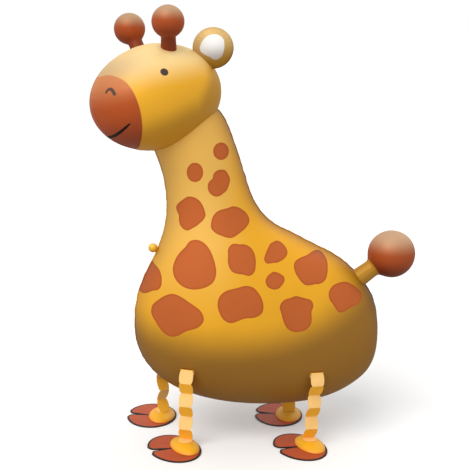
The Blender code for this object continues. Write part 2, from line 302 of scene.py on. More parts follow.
def noise(tree, place, scale, detail=3.0, roughness=0.5):
    """Noise at a scale counted in waves per metre."""
    sockets = {"Vector": place, "Scale": scale, "Detail": detail, "Roughness": roughness}
    return add_node(tree, "TexNoise", sockets).outputs["Fac"]


# %% New groups and materials
def new_group(name, numbers, results):
    """An empty node group with a print and some numbers going in."""
    group = bpy.data.node_groups.new(name, "ShaderNodeTree")
    face = group.interface
    face.new_socket("Print", in_out="INPUT", socket_type="NodeSocketColor")
    for label, value in numbers.items():
        face.new_socket(label, in_out="INPUT", socket_type="NodeSocketFloat").default_value = value
    for label, kind in results.items():
        face.new_socket(label, in_out="OUTPUT", socket_type="NodeSocket" + kind)
    given = group.nodes.new("NodeGroupInput").outputs
    return group, given, group.nodes.new("NodeGroupOutput")


def new_material(name):
    """An empty material with its shader."""
    material = bpy.data.materials.new(name)
    material.use_nodes = True
    return material, material.node_tree, material.node_tree.nodes["Principled BSDF"]


# %% [markdown]
# All foil pieces share one film that is never quite even: its tone drifts, handling has broken up the
# shine, and fine crinkles bend the reflections. Next to a weld it also falls into small folds. Several
# materials use it, so it is a node group that puts out a colour, a roughness and a normal.

# %% Film group
DRIFT_WAVES = 9.0
RUB_WAVES = 45.0
CRINKLE_WAVES = 38.0
FINE_WAVES = 260.0
FINE_SHARE = 0.25
CRINKLE_HEIGHT = 0.002
FOLD_HEIGHT = 0.0016
FOLD_STRENGTH = 0.8


def make_film_group():
    """Uneven tone, broken shine and fine crinkles for a printed foil."""
    numbers = {"Roughness": 0.4, "Tone Drift": 0.06, "Crinkle": 0.1, "Folds": 0.0}
    results = {"Color": "Color", "Roughness": "Float", "Normal": "Vector"}
    group, given, result = new_group("foil film", numbers, results)
    place = own_place(group)
    drift = ramp(group, noise(group, place, DRIFT_WAVES, 2.0), 0.3, 0.7, -1.0, 1.0)
    value = calculate(group, "MULTIPLY_ADD", drift, given["Tone Drift"], 1.0)
    toned = add_node(group, "HueSaturation", {"Value": value, "Color": given["Print"]}).outputs[0]
    rub = ramp(group, noise(group, place, RUB_WAVES, 4.0, 0.6), 0.35, 0.75, -0.04, 0.07)
    shine = calculate(group, "ADD", given["Roughness"], rub)
    coarse = noise(group, place, CRINKLE_WAVES, 2.0)
    both = calculate(group, "MULTIPLY_ADD", noise(group, place, FINE_WAVES), FINE_SHARE, coarse)
    folds = {"Strength": FOLD_STRENGTH, "Distance": FOLD_HEIGHT, "Height": given["Folds"]}
    folded = add_node(group, "Bump", folds).outputs[0]
    crinkles = {"Strength": given["Crinkle"], "Distance": CRINKLE_HEIGHT, "Height": both, "Normal": folded}
    normal = add_node(group, "Bump", crinkles).outputs[0]
    fill(group, result, {"Color": toned, "Roughness": shine, "Normal": normal})
    return group


film_group = make_film_group()
print("film group inputs:", [item.name for item in film_group.interface.items_tree])


# %% A foil material around any print
FOLD_WAVES = 130.0
FILM = {"Roughness": 0.52, "Tone Drift": 0.04, "Crinkle": 0.10}
FOIL_SHINE = {
    "Metallic": 0.18,
    "Specular IOR Level": 0.15,
    "Specular Tint": (1.0, 0.90, 0.70, 1.0),
    "Coat Weight": 0.08,
    "Coat Roughness": 0.42,
}


def seam_folds(tree):
    """Height of the small folds that run away from a welded seam and fade out."""
    squeezed = add_node(tree, "Attribute", attribute_name="seam_place").outputs["Vector"]
    near = ramp(tree, read(tree, "near_seam"), 0.0, 1.0)
    return calculate(tree, "MULTIPLY", noise(tree, squeezed, FOLD_WAVES, 2.0), near)


def wrap_in_film(tree, shader, colour, welded=False):
    """Join a print to its shader through the film group."""
    folds = seam_folds(tree) if welded else 0.0
    film = add_node(tree, "Group", {"Print": colour, "Folds": folds, **FILM}, node_tree=film_group).outputs
    printed = {"Base Color": film["Color"], "Roughness": film["Roughness"], "Normal": film["Normal"]}
    fill(tree, shader, printed | FOIL_SHINE)


# %% [markdown]
# The body and neck are one bag of two foil sheets, welded along the back and the belly. Filled, it is
# nearly a stack of ellipses. So the mesh is grown the way one would by hand: a circle at the top of the
# neck is extruded again and again, and each new ring is turned, stretched and moved to its place.
# Stations between neck and rump say where the rings go, and a smooth curve runs through them.

# %% Places of the body's rings
BELLY_HEIGHT = 0.049
BODY_HEIGHT = 0.400
BODY_WIDTH = 0.176
PLAN_SHIFT = -0.0071177
RINGS_PER_STATION = 2
RING_SIDES = 32
BODY_STATIONS = (
    (-0.400, 1.050, -0.130, 1.110, 0.54),
    (-0.361, 0.955, -0.073, 0.982, 0.59),
    (-0.325, 0.862, -0.033, 0.872, 0.60),
    (-0.311, 0.767, 0.004, 0.778, 0.63),
    (-0.315, 0.677, 0.066, 0.704, 0.71),
    (-0.347, 0.572, 0.153, 0.660, 0.82),
    (-0.400, 0.457, 0.262, 0.608, 0.92),
    (-0.420, 0.332, 0.341, 0.569, 0.98),
    (-0.396, 0.192, 0.397, 0.524, 1.00),
    (-0.284, 0.071, 0.436, 0.482, 0.99),
    (-0.090, 0.010, 0.468, 0.440, 0.94),
    (0.125, 0.000, 0.490, 0.392, 0.84),
    (0.304, 0.026, 0.502, 0.332, 0.68),
    (0.422, 0.090, 0.504, 0.267, 0.45),
    (0.463, 0.130, 0.500, 0.224, 0.26),
)
RUMP_TIP = (0.489, 0.175)


def body_point(share_x, share_z):
    """A point of the side outline, from shares of the body's height."""
    return Vector((share_x * BODY_HEIGHT + PLAN_SHIFT, 0.0, BELLY_HEIGHT + share_z * BODY_HEIGHT))


def curve_between(before, first, second, after, share):
    """A smooth curve from the second of four values to the third."""
    return 0.5 * (
        first * 2
        + (second - before) * share
        + (before * 2 - first * 5 + second * 4 - after) * share**2
        + (first * 3 - before - second * 3 + after) * share**3
    )


def through(values, place):
    """The smooth curve through a row of values, read at a place between them."""
    last = len(values) - 1
    step = min(int(place), last - 1)
    before = values[step - 1] if step > 0 else values[0] * 2 - values[1]
    after = values[step + 2] if step + 2 <= last else values[last] * 2 - values[last - 1]
    return curve_between(before, values[step], values[step + 1], after, place - step)


def body_ring(place):
    """Centre, slope, reach along the slope and half width of one ring."""
    front = through([body_point(*station[:2]) for station in BODY_STATIONS], place)
    back = through([body_point(*station[2:4]) for station in BODY_STATIONS], place)
    half = through([station[4] for station in BODY_STATIONS], place) * BODY_WIDTH / 2
    span = back - front
    return (front + back) / 2, atan2(span.z, span.x), span.length / 2, half


# %% Growing a form ring by ring
UNIT_RING = (Vector((0, 0, 0)), 0.0, 1.0, 1.0)


def shape_ring(new, old=UNIT_RING):
    """Move the picked ring from the old ellipse to the new one."""
    centre, slope, reach, half = new
    bpy.ops.transform.rotate(value=-old[1], orient_axis="Y", center_override=old[0])
    stretch((reach / old[2], half / old[3], 1.0), old[0])
    bpy.ops.transform.rotate(value=slope, orient_axis="Y", center_override=old[0])
    bpy.ops.transform.translate(value=centre - old[0])


def extrude_ring(new, old):
    """Extrude the picked ring and shape the copy."""
    extrude((0, 0, 0))
    shape_ring(new, old)


def close_ring(move=(0, 0, 0)):
    """Fill the picked ring with a fan whose middle is moved outwards."""
    bpy.ops.mesh.edge_face_add()
    bpy.ops.mesh.poke()
    if Vector(move).length:
        bpy.ops.mesh.select_mode(type="VERT")
        bpy.ops.mesh.select_less()
        bpy.ops.transform.translate(value=move)


def smaller(ring, share, move):
    """A ring of the same slope, made smaller and moved on."""
    return ring[0] + Vector(move), ring[1], ring[2] * share, ring[3] * share


# %% Body and neck
NECK_END_RISE = (-0.006, 0.0, 0.012)
END_RING_SHARE = 0.62
END_RING_STEP = 0.6


def grow_body():
    """The bag of body and neck, closed inside the head and at the rump."""
    bpy.ops.mesh.primitive_circle_add(vertices=RING_SIDES, radius=1.0, fill_type="NOTHING")
    piece = start_piece("body_foil")
    first = ring = body_ring(0.0)
    shape_ring(ring)
    for step in range(1, (len(BODY_STATIONS) - 1) * RINGS_PER_STATION + 1):
        following = body_ring(step / RINGS_PER_STATION)
        extrude_ring(following, ring)
        ring = following
    to_tip = body_point(*RUMP_TIP) - ring[0]
    extrude_ring(smaller(ring, END_RING_SHARE, to_tip * END_RING_STEP), ring)
    close_ring(to_tip * (1 - END_RING_STEP))
    pick_opening()
    extrude_ring(smaller(first, END_RING_SHARE, NECK_END_RISE), first)
    close_ring()
    face_outwards()
    end_edit()
    return piece


body = grow_body()
subdivide_smoothly(body, 3)
size = points_of(body).max(axis=0) - points_of(body).min(axis=0)
print("body", len(body.data.polygons), "faces, size", size.round(4))

# %% [markdown]
# Where two sheets are welded, the film can't lie flat: it puckers next to the seam. A Displace modifier
# makes the puckers from noise stretched across the seam, and a vertex group fades them out. The seam
# line then gets a narrow bevel, and the strip of faces that it leaves is extruded into a thin fin, the
# welded edge. Finer folds are left to the material: each point keeps its place squeezed across the seam,
# so that noise read there is drawn out into folds that run away from it.

# %% Puckers and the welded seam
SEAM_SQUEEZE = 0.12
PUCKER_STRETCH = 5.0


def note_seam(piece, reach, seam_axis=1):
    """Keep how near the seam each point lies, and its place squeezed across the seam."""
    places = points_of(piece)
    near = np.clip(1.0 - np.abs(places[:, seam_axis]) / reach, 0.0, 1.0)
    places[:, seam_axis] *= SEAM_SQUEEZE
    store(piece, near_seam=near, seam_place=places)


def pucker_seam(piece, reach, depth, spacing):
    """Draw the film together next to the plane where the seam runs."""
    away = np.abs(points_of(piece)[:, 1])
    weights = np.clip(1.0 - away / reach, 0.0, 1.0) ** 1.5
    group = piece.vertex_groups.new(name="near the seam")
    for index in np.flatnonzero(weights > 0.0):
        group.add([int(index)], float(weights[index]), "REPLACE")
    drawn_out = bpy.data.objects.new("pucker_space", None)
    scene.collection.objects.link(drawn_out)
    drawn_out.scale = (1.0, PUCKER_STRETCH, 1.0)
    bpy.context.view_layer.update()
    clouds = bpy.data.textures.new("puckers", "CLOUDS")
    clouds.noise_scale = spacing
    dent = piece.modifiers.new("puckers", "DISPLACE")
    dent.texture = clouds
    dent.texture_coords = "OBJECT"
    dent.texture_coords_object = drawn_out
    dent.vertex_group = group.name
    dent.strength = depth
    apply(piece, dent)
    bpy.data.objects.remove(drawn_out)
    piece.vertex_groups.clear()


def weld_seam(piece, width, thickness, seam_axis=1):
    """Raise a thin fin along the plane where the two sheets meet."""
    start_edit(piece)
    edges = pick(piece, lambda co: abs(co[seam_axis]) < 1e-4, "EDGE")
    bpy.ops.mesh.bevel(offset=thickness / 2, segments=1, affect="EDGES")
    bpy.ops.mesh.extrude_region_shrink_fatten(TRANSFORM_OT_shrink_fatten={"value": width})
    end_edit()
    print(piece.name, "seam of", edges, "edges,", width * 1000, "mm wide")


pucker_seam(body, reach=0.020, depth=0.0018, spacing=0.010)
weld_seam(body, width=0.0018, thickness=0.0008)
note_seam(body, reach=0.032)

# %% [markdown]
# The giraffe's patches are printed on both sheets alike. A print has a crisp edge at any distance, so
# no image is painted onto the mesh. Each patch is a centre and radii in even directions, in millimetres,
# and every point of the body keeps how far it lies outside the nearest patch. The material turns that
# distance into ink. Shade is painted on as well: the belly is painted darker below a line kept in the same
# way, and the rim of each sheet is painted darker, more along the back than in front, so the balloon looks
# fuller than it is.

# %% Patches and belly
MM = 0.001
PATCHES = (
    (-60.9, 436.7, (12.1, 11.7, 11.8, 12.2, 12.3, 12.0, 11.8, 11.9, 12.1, 12.3)),
    (-97.7, 406.8, (11.3, 12.0, 13.5, 13.6, 12.0, 11.2, 12.0, 13.6, 13.5, 12.1)),
    (-64.3, 392.3, (16.8, 18.4, 18.8, 20.4, 19.4, 17.7, 14.6, 10.8, 12.0, 14.3, 15.9, 17.6, 18.6, 19.0,
        17.8, 16.3, 16.4, 16.0)),
    (-101.8, 347.2, (20.7, 20.3, 21.2, 23.0, 24.4, 24.4, 21.7, 20.8, 20.4, 17.5, 16.1, 19.5, 23.6, 24.6,
        20.3, 18.4, 17.9, 19.3)),
    (-46.3, 338.6, (29.7, 27.6, 24.5, 22.8, 21.3, 19.2, 20.1, 22.8, 25.1, 26.5, 28.0, 25.3, 22.4, 22.0,
        21.9, 20.9, 21.8, 25.3)),
    (-94.7, 277.1, (28.7, 27.7, 29.1, 32.1, 34.7, 33.0, 26.3, 24.9, 25.4, 27.8, 31.8, 34.7, 35.6, 34.9,
        33.7, 33.7, 33.8, 31.4)),
    (-29.5, 286.4, (20.4, 20.5, 21.3, 21.9, 22.0, 22.2, 25.7, 24.8, 20.6, 19.6, 19.8, 20.4, 20.0, 18.9,
        19.8, 24.1, 24.2, 21.5)),
    (20.9, 294.4, (18.5, 18.1, 17.1, 16.8, 16.4, 15.1, 14.8, 13.8, 14.0, 15.6, 18.7, 18.8, 14.1, 12.1,
        11.9, 12.0, 13.3, 15.8)),
    (18.5, 257.9, (14.7, 15.1, 13.4, 12.6, 12.4, 13.1, 12.2, 12.6, 13.0, 13.4, 12.9, 12.7, 11.8, 11.6,
        11.8, 12.2, 12.1, 13.0)),
    (76.9, 271.1, (25.5, 27.6, 27.5, 24.3, 21.1, 19.2, 20.0, 24.2, 29.7, 28.1, 25.2, 24.0, 23.5, 21.3,
        20.5, 23.1, 25.2, 25.0)),
    (128.5, 228.5, (30.5, 24.8, 21.6, 20.2, 20.8, 21.6, 23.6, 27.1, 28.2, 25.5, 21.4, 20.8, 21.8, 20.1,
        17.5, 17.3, 20.1, 27.2)),
    (54.0, 212.9, (20.9, 25.1, 25.5, 22.4, 21.9, 23.7, 24.1, 27.9, 28.8, 24.8, 23.8, 25.1, 27.4, 28.5,
        28.4, 28.9, 26.9, 22.7)),
    (-28.4, 223.2, (31.4, 30.4, 30.1, 30.5, 28.9, 26.3, 27.1, 30.8, 33.7, 33.7, 32.7, 32.3, 29.4, 22.4,
        19.2, 20.5, 25.9, 31.3)),
    (-118.6, 200.1, (38.1, 35.8, 31.1, 29.3, 31.1, 33.6, 33.0, 32.8, 34.9, 34.4, 30.6, 29.9, 30.7, 30.2,
        26.5, 23.6, 25.7, 33.0)),
    (-160.0, 248.0, (20.6, 21.3, 22.2, 21.5, 20.5, 21.7, 21.1, 21.2, 21.7, 22.8, 27.5, 30.3, 29.3, 24.9,
        20.1, 18.4, 20.5, 21.0)),
)
# Line of the belly's painted shade, lowest at BELLY_MIDDLE and rising towards both ends, and how far above
# it the shade fades.
BELLY_LINE = 0.127
BELLY_RISE = 0.050
BELLY_MIDDLE = -0.060
BELLY_REACH = 0.186
BELLY_FADE = 0.073
# Painted rim shade: how far from the seam it reaches, and its strength where the surface faces sideways.
RIM_REACH = 0.048
RIM_SHARE = 0.65


def outside(across, up, centre, radii):
    """How far points lie outside a closed outline that is given by radii in even directions."""
    east, north = across - centre[0], up - centre[1]
    turn = np.arctan2(north, east) / tau * len(radii)
    step = np.floor(turn).astype(int)
    around = [np.take(np.array(radii), step + offset, mode="wrap") for offset in (-1, 0, 1, 2)]
    return np.hypot(east, north) - curve_between(*around, turn - step)


def print_body(piece):
    """Keep the distances to the nearest patch and to the edge of the belly's painted shade, and the strength
    of the painted rim shade.
    """
    x, y, z = points_of(piece).T
    nearest = np.full(len(x), 1000.0)
    for *centre, radii in PATCHES:
        nearest = np.minimum(nearest, outside(x / MM, z / MM, centre, radii))
    belly = BELLY_LINE + BELLY_RISE * ((x - BELLY_MIDDLE) / BELLY_REACH) ** 2
    normals = np.empty(len(x) * 3)
    piece.data.vertices.foreach_get("normal", normals)
    # Painted shade along the rim of each sheet, stronger where the surface faces the back.
    near = np.clip(1.0 - np.abs(y) / RIM_REACH, 0.0, 1.0)
    rim = near**2 * (3.0 - 2.0 * near) * (RIM_SHARE + (1.0 - RIM_SHARE) * normals[0::3])
    store(piece, patch=nearest, above_belly=z - belly, rim=rim)
    print(len(PATCHES), "patches cover", round(float((nearest < 0).mean()) * 100), "% of the points")


print_body(body)


# %% Printed gold foil of the body, with painted light and shade
# Colour that the rim is multiplied by, as painted shade.
RIM_SHADE = (0.42, 0.32, 0.08, 1.0)


def body_material():
    """Gold foil, printed with patches, with a painted highlight on the upper front and painted shade towards
    the rump, under the belly and along the rims.
    """
    material, tree, shader = new_material("gold_foil_print_with_painted_light")
    place = add_node(tree, "SeparateXYZ", {0: own_place(tree)}).outputs
    # Painted highlight: paler gold on the upper front of the neck and chest.
    high = ramp(tree, place["Z"], 0.17, 0.36)
    ahead = ramp(tree, place["X"], -0.075, -0.010, 1.0, 0.0)
    gold = mix(tree, calculate(tree, "MULTIPLY", high, ahead), "EBAA28", "EAB658")
    # Painted shade: darker gold towards the rump.
    gold = mix(tree, ramp(tree, place["X"], 0.08, 0.20), gold, "BE8824")
    # Painted shade: darker brown under the belly, fading out above the belly line.
    belly = ramp(tree, read(tree, "above_belly"), 0.0, BELLY_FADE, 1.0, 0.0)
    ground = mix(tree, belly, gold, "986A27")
    patch = ramp(tree, read(tree, "patch"), -4.0, -0.3)
    printed = ink(tree, "patch", ground, mix(tree, patch, "C0622E", "B45624"))
    # Painted shade: the rim of each sheet is darkened.
    printed = mix(tree, read(tree, "rim"), printed, RIM_SHADE, "MULTIPLY")
    wrap_in_film(tree, shader, printed, welded=True)
    return material


hand_over(body, "body", body_material())

# %% [markdown]
# The head is a bag of its own, a long egg that is turned towards the giraffe's left. It is modelled
# facing along X with its seam in the middle, and its print is measured there, where left and right are
# simple. Only then is it turned into place on the neck.

# %% Place and size of the head
HEAD_LENGTH = 0.199
HEAD_WIDTH = 0.148
HEAD_AHEAD_OF_NECK = 0.060
HEAD_ABOVE_NECK = 0.071
HEAD_TO_LEFT = 0.012
HEAD_TURN = radians(27.0)
HEAD_NOD = radians(11.6)
HEAD_TILT = radians(8.5)
NECK_TOP = (-0.213, 0.969)
HEAD_RADII = (HEAD_LENGTH / 2, HEAD_WIDTH / 2, HEAD_WIDTH / 2)
HEAD_SIDES = 64
HEAD_RINGS = 32


def head_matrix():
    """Head frame: +X to the nose, +Y to the giraffe's left, +Z to the crown."""
    face = Matrix.Rotation(pi + HEAD_TURN, 4, "Z")
    pose = face @ Matrix.Rotation(HEAD_NOD, 4, "Y") @ Matrix.Rotation(HEAD_TILT, 4, "X")
    ahead = Vector((-HEAD_AHEAD_OF_NECK, -HEAD_TO_LEFT, HEAD_ABOVE_NECK))
    return Matrix.Translation(body_point(*NECK_TOP) + ahead) @ pose


HEAD_PLACE = head_matrix()


# %% Head
def pillow(name, radii, sides, rings):
    """A ball with its poles left and right, stretched to three half sizes."""
    bpy.ops.mesh.primitive_uv_sphere_add(segments=sides, ring_count=rings, radius=1.0)
    settle(bpy.context.object, Matrix.Rotation(pi / 2, 4, "X"))
    piece = start_piece(name)
    stretch(radii)
    end_edit()
    return piece


head = pillow("head_foil", HEAD_RADII, HEAD_SIDES, HEAD_RINGS)
subdivide_smoothly(head, 2)
pucker_seam(head, reach=0.012, depth=0.0010, spacing=0.008)
weld_seam(head, width=0.0006, thickness=0.0005)
note_seam(head, reach=0.018)

# %% [markdown]
# The face is a print too: a chestnut muzzle, a dark eye on each side, an arched nostril and a smile.
# Lines are kept as the distance to a stroke, which the material fills with ink.

# %% Face
MUZZLE = (58.2, 55.7, 49.3, 44.1, 49.3, 55.7, 58.2, 59.5, 61.0, 63.5, 61.0, 59.5)
EYE = (15.6, 65.4, 32.6)
EYE_RADIUS = 5.6
NOSTRIL = ((26.2, 22.4), (27.6, 24.9), (30.4, 25.6), (34.2, 23.2), (37.8, 17.4))
NOSTRIL_STROKE = 1.8
SMILE_LOW = -38.7
SMILE_CURVE = 0.0072
SMILE_END = 45.0
SMILE_STROKE = 1.9
SHADE_STARTS_BEHIND = 25.0


def stroke_distance(across, up, line, half):
    """How far points lie outside a stroke along a smooth line."""
    corners = [Vector(point) for point in line]
    steps = np.linspace(0, len(line) - 1, 8 * len(line))
    path = np.array([through(corners, min(step, len(line) - 1.0001)) for step in steps])
    gaps = np.hypot(across[:, None] - path[:, 0], up[:, None] - path[:, 1])
    return gaps.min(axis=1) - half


def print_face(piece):
    """Keep the distances to muzzle, eyes and drawn lines in millimetres, and the height, reach ahead and
    shade that the painted highlight and painted shade read.
    """
    forward, left, up = points_of(piece).T / MM
    beside = np.abs(left)
    behind = np.where(forward > 0, 0.0, 100.0)
    muzzle = outside(left, up, (0.0, 0.0), MUZZLE) + behind
    eye = np.sqrt((forward - EYE[0])**2 + (beside - EYE[1])**2 + (up - EYE[2])**2) - EYE_RADIUS
    nostril = stroke_distance(beside, up, NOSTRIL, NOSTRIL_STROKE) + behind
    low = SMILE_LOW + SMILE_CURVE * left**2
    taper = np.clip(1.0 - (beside / SMILE_END) ** 2, 0.0, 1.0) ** 0.35
    smile = np.abs(up - low) / np.hypot(1.0, 2 * SMILE_CURVE * left) - SMILE_STROKE * taper
    smile = np.maximum(smile, beside - SMILE_END) + behind
    # Painted shade grows lower down and further back, and faster far behind.
    far_back = np.clip(-forward - SHADE_STARTS_BEHIND, 0.0, None)
    shade = (0.9 * far_back - 1.1 * up - 0.2 * forward) / (HEAD_WIDTH / 2 / MM)
    store(piece, muzzle=muzzle, eye=eye, nostril=nostril, smile=smile, height=up, ahead=forward, shade=shade)
    print("muzzle covers", round(float((muzzle < 0).mean()) * 100), "% of the head's points")


print_face(head)
settle(head, HEAD_PLACE)


# %% Printed foil of the head, with painted light and shade
def head_material():
    """Gold foil with a painted highlight on the crown and painted shade below and behind, and a printed face
    whose muzzle is painted lighter on top and darker below.
    """
    material, tree, shader = new_material("head_foil_print_with_painted_light")
    height = read(tree, "height")
    # Painted highlight on the crown: paler higher up, and greyer towards the nose.
    ahead = ramp(tree, read(tree, "ahead"), 4.0, 92.0)
    pale = mix(tree, ahead, "FCDC9A", "C2A27A")
    gold = mix(tree, ramp(tree, height, 8.0, 54.0), "F0B02E", pale)
    # Painted shade below and behind.
    gold = mix(tree, ramp(tree, read(tree, "shade"), 0.10, 0.60), gold, "C58F2A")
    # The chestnut muzzle is painted lighter on top, as a highlight, and darker below, as shade.
    brown = mix(tree, ramp(tree, height, -5.0, 42.0), "B65224", "CA8052")
    brown = mix(tree, ramp(tree, height, -60.0, -8.0), "8A3C25", brown)
    skin = ink(tree, "muzzle", gold, brown, 0.3)
    skin = ink(tree, "nostril", skin, "5A463E")
    skin = ink(tree, "smile", skin, "100807")
    skin = ink(tree, "eye", skin, "4E3E3A", 0.5)
    wrap_in_film(tree, shader, skin, welded=True)
    return material


hand_over(head, "head", head_material())

# %% [markdown]
# Horns, tail and filling valve are small balls on a gathered neck. Each is grown from a circle like the
# body, with rings that only rise and change their radius. Tied film falls into small pleats, so every
# other column of the stem is pressed in a little before the last smoothing. Each ball is painted darker
# below, as shade, and lighter on top, as a highlight, so each point keeps how high on its ball it ends up.

# %% Growing a ball on its stem
KNOB_SIDES = 24
BALL_RINGS = 9
PLEAT_DEPTH = 0.045
PLEAT_TOP = 0.36
STEM_SHARES = (0.54, 0.53, 0.50, 0.49)
CAP_ANGLE = radians(14)


def grow_knob(name, ball, stem, length, root):
    """A ball on a pleated stem, standing along its own Z with its foot at the origin."""
    join = pi - asin(stem / ball)
    foot, neck, waist, collar = (stem * share for share in STEM_SHARES)
    rings = [(-root, foot), (0.0, neck), (length / 4, waist), (length - ball / 2 - stem / 20, collar)]
    for step in range(BALL_RINGS + 1):
        angle = join + (CAP_ANGLE - join) * step / BALL_RINGS
        rings.append((length + ball / 2 * cos(angle), ball / 2 * sin(angle)))
    bpy.ops.mesh.primitive_circle_add(vertices=KNOB_SIDES, radius=foot, fill_type="NOTHING")
    piece = start_piece(name)
    bpy.ops.transform.translate(value=(0, 0, -root))
    for (low, before), (high, radius) in zip(rings, rings[1:]):
        extrude((0, 0, high - low))
        stretch((radius / before, radius / before, 1.0), (0, 0, high))
    close_ring((0, 0, length + ball / 2 - high))
    pick_opening()
    close_ring()
    top = length - ball * PLEAT_TOP
    pleats = KNOB_SIDES / 2
    pick(piece, lambda co: co.z < top and cos(pleats * atan2(co.y, co.x)) < -0.5)
    stretch((1 - PLEAT_DEPTH, 1 - PLEAT_DEPTH, 1.0))
    face_outwards()
    end_edit()
    subdivide_smoothly(piece, 2)
    store(piece, along=points_of(piece)[:, 2] / length)
    return piece


def stand(piece, foot, direction, sizes, frame_place=Matrix()):
    """Stand a knob on a point along a direction, and keep how high on its ball each point is, for the
    painted shade and highlight.
    """
    ball, _, length, _ = sizes
    turn = direction.to_track_quat("Z", "Y").to_matrix().to_4x4()
    place = frame_place @ (Matrix.Translation(foot) @ turn)
    settle(piece, place)
    middle = place @ Vector((0, 0, length))
    store(piece, rise=(points_of(piece)[:, 2] - middle.z) / (ball / 2))


# %% [markdown]
# Each horn stands on the crown, and the table gives how far, in degrees, its foot is sideways and back
# from the top, and how far its stem leans sideways and forward. They are glued on by hand, so the two
# rows differ a little.

# %% Horns and their foil
# Width of the ball and of the stem, length up to the ball's middle, and how deep the root goes.
HORN_SIZES = (0.046, 0.0215, 0.0385, 0.008)
HORNS = (
    ("horn_left", 30.0, 12.0, 28.0, 4.0),
    ("horn_right", -28.0, 6.0, -21.0, 0.0),
)


def knob_material(name, stem, low, middle, top, change_from, change_to):
    """Foil whose print changes from the stem to the ball, with painted shade below the ball's middle and a
    painted highlight on its top.
    """
    material, tree, shader = new_material(name)
    rise = read(tree, "rise")
    # Painted shade below the ball's middle and a painted highlight on its top.
    ball = mix(tree, ramp(tree, rise, -0.9, 0.0), low, middle)
    ball = mix(tree, ramp(tree, rise, 0.0, 0.85), ball, top)
    share = ramp(tree, read(tree, "along"), change_from, change_to)
    wrap_in_film(tree, shader, mix(tree, share, stem, ball))
    return material


def on_head(direction):
    """The point of the head's surface in a direction from its centre, in the head's frame."""
    size = sqrt(sum((direction[axis] / HEAD_RADII[axis]) ** 2 for axis in range(3)))
    return Vector(direction) / size


# Stem, then painted shade below, middle and painted highlight on top of the horns' balls.
horn_foil = knob_material("horn_foil", "84391F", "86381F", "AC4E24", "BC9674", 0.25, 0.60)
horn_shape = grow_knob("horn_shape", *HORN_SIZES)
for horn_name, *degrees in HORNS:
    out, back, spread, ahead = (radians(angle) for angle in degrees)
    foot = on_head((-sin(back), sin(out) * cos(back), cos(out) * cos(back)))
    lean = Vector((sin(ahead), sin(spread), cos(spread)))
    horn = copy_of(horn_shape, horn_name + "_foil")
    stand(horn, foot, lean, HORN_SIZES, HEAD_PLACE)
    hand_over(horn, horn_name, horn_foil)
bpy.data.objects.remove(horn_shape)

# %% Tail and filling valve
BODY_KNOBS = (
    # node, piece, slot, sizes as for a horn, foot on the body, slope in degrees, foil: name, stem, painted
    # shade below, middle, painted highlight on top, where the stem turns to ball
    ("tail", "tail_foil", "tail_foil", (0.073, 0.028, 0.060, 0.010), (0.425, 0.492), 38.0,
     ("tail_foil_print_with_painted_light", "B4822A", "74301B", "A64C22", "C29C7A", 0.44, 0.46)),
    ("filling_valve", "valve_film", "valve_film", (0.014, 0.006, 0.011, 0.004), (-0.337, 0.578), 142.0,
     ("valve_film_print_with_painted_light", "C9922A", "D9A028", "EDB838", "F4CC60", 0.3, 0.6)),
)

for node, name, slot_name, sizes, foot_shares, degrees, foil in BODY_KNOBS:
    knob = grow_knob(name, *sizes)
    slope = radians(degrees)
    stand(knob, body_point(*foot_shares), Vector((cos(slope), 0.0, sin(slope))), sizes)
    hand_over(knob, node, knob_material(*foil))

# %% [markdown]
# An ear is a flat round pillow of two discs that are welded at the rim. Close to the rim the film always
# falls into small radial pleats, so every other column is pressed in there. The pale inner ear is
# printed on the front disc alone.

# %% Ears
EAR_DIAMETER = 0.056
EAR_THICKNESS = 0.018
EAR_SIDES = 48
EAR_RINGS = 20
EAR_PLEATS_FROM = 0.80
EAR_PLEATS_TO = 0.985
EAR_PLEAT_DEPTH = 0.0007
EARS = (
    ("ear_left", (-0.081, 0.045, 0.050), (0.55, 0.80, 0.10)),
    ("ear_right", (-0.081, -0.047, 0.032), (0.55, -0.80, 0.10)),
)
INNER_EAR = (16.6, 19.0, 18.9, 17.8, 17.0, 17.4, 18.2, 14.9, 13.8, 17.4, 17.4, 16.1)


def grow_ear():
    """A pillow that faces along X, with radial pleats and a welded rim."""
    radius = EAR_DIAMETER / 2
    piece = pillow("ear_shape", (radius, EAR_THICKNESS / 2, radius), EAR_SIDES, EAR_RINGS)
    settle(piece, Matrix.Rotation(-pi / 2, 4, "Z"))

    def on_pleat(co):
        """True for every other column of points close to the rim."""
        near_rim = radius * EAR_PLEATS_FROM < hypot(co.y, co.z) < radius * EAR_PLEATS_TO
        return near_rim and cos(EAR_SIDES / 2 * atan2(co.z, co.y)) > 0.5

    start_edit(piece)
    pick(piece, on_pleat)
    bpy.ops.transform.shrink_fatten(value=-EAR_PLEAT_DEPTH)
    end_edit()
    subdivide_smoothly(piece, 2)
    weld_seam(piece, width=0.0012, thickness=0.0007, seam_axis=0)
    note_seam(piece, reach=0.007, seam_axis=0)
    return piece


def print_ear(piece, mirrored):
    """Keep the distance to the inner ear's outline, on the front alone, and the height."""
    x, y, z = points_of(piece).T / MM
    inner = outside(-y if mirrored else y, z, (0.0, 0.0), INNER_EAR)
    store(piece, inner_ear=np.where(x > 0, inner, 30.0), ear_height=z)


def ear_material():
    """Gold foil with a printed pale inner ear, both painted darker towards the bottom as shade, and the gold
    painted lighter on top as a highlight.
    """
    material, tree, shader = new_material("ear_foil_print_with_painted_light")
    height = read(tree, "ear_height")
    # Painted shade low on the ear and a painted highlight on its top.
    gold = mix(tree, ramp(tree, height, -24.0, 16.0), "9C701E", "D6B274")
    # Painted shade on the lower part of the pale inner ear.
    pale = mix(tree, ramp(tree, height, -18.0, 6.0), "B3AAA6", "F0EFEC")
    wrap_in_film(tree, shader, ink(tree, "inner_ear", gold, pale), welded=True)
    return material


